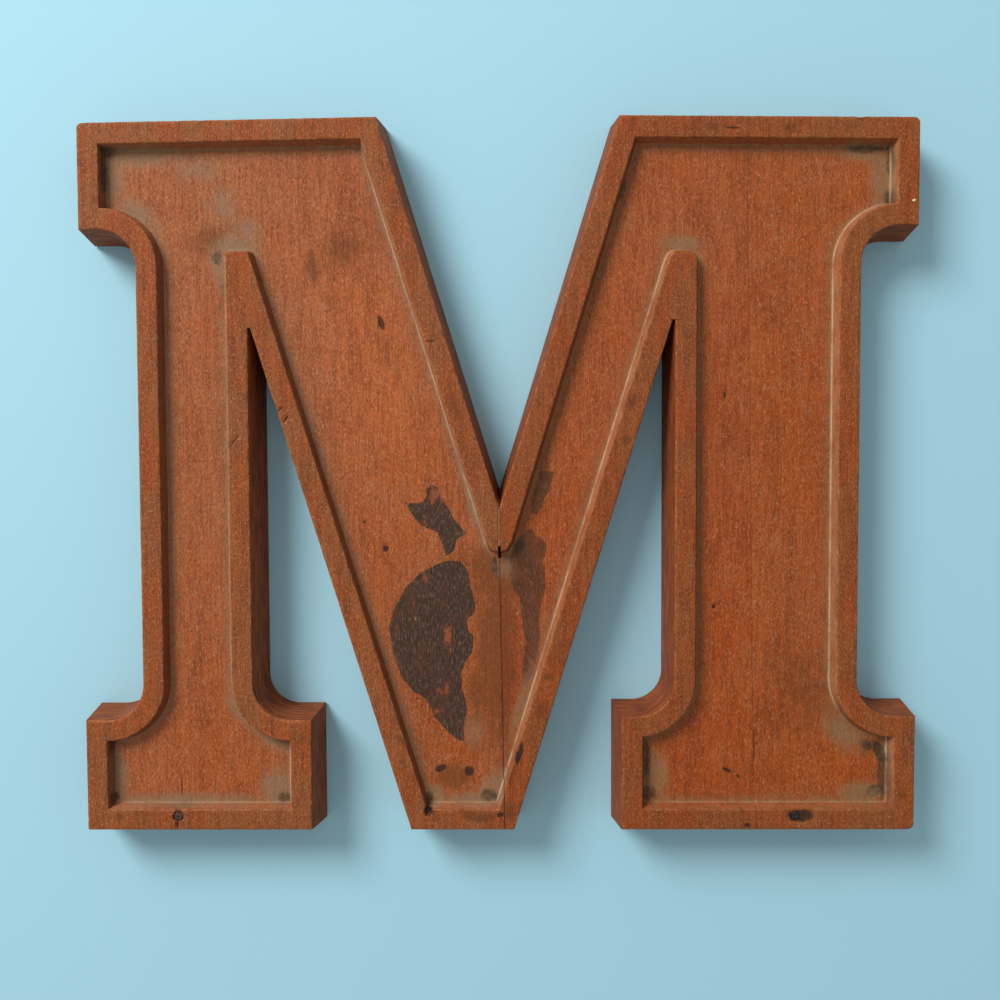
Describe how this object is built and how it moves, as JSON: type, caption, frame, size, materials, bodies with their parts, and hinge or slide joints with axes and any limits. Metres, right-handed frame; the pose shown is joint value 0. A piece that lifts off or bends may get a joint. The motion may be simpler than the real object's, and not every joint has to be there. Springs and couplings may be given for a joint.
{
  "type": "wooden sign letter",
  "caption": "Painted slab-serif wooden letter M for a sign, with a raised rim round a sunk face, sawn from a glued-up panel, with old nails in its feet.",
  "frame": {"origin": "middle of the flat back, in the middle of the letter's width and height", "axes": "+X to the reader's right, +Y up the letter, +Z out of the face"},
  "size_m": [0.3022, 0.258, 0.019],
  "materials": {
    "painted_wood": "worn orange-red paint or stain over open-grained wood, matt",
    "bare_wood": "bare pale wood, dusty",
    "rusty_iron": "dark rusty iron, matt"
  },
  "bodies": {
    "root": {"left_board": "painted_wood", "inner_board": "painted_wood", "outer_board": "painted_wood", "joint_filler": "bare_wood", "left_foot_nail": "rusty_iron", "right_foot_nail": "rusty_iron", "v_foot_nail": "rusty_iron"}
  },
  "joints": []
}
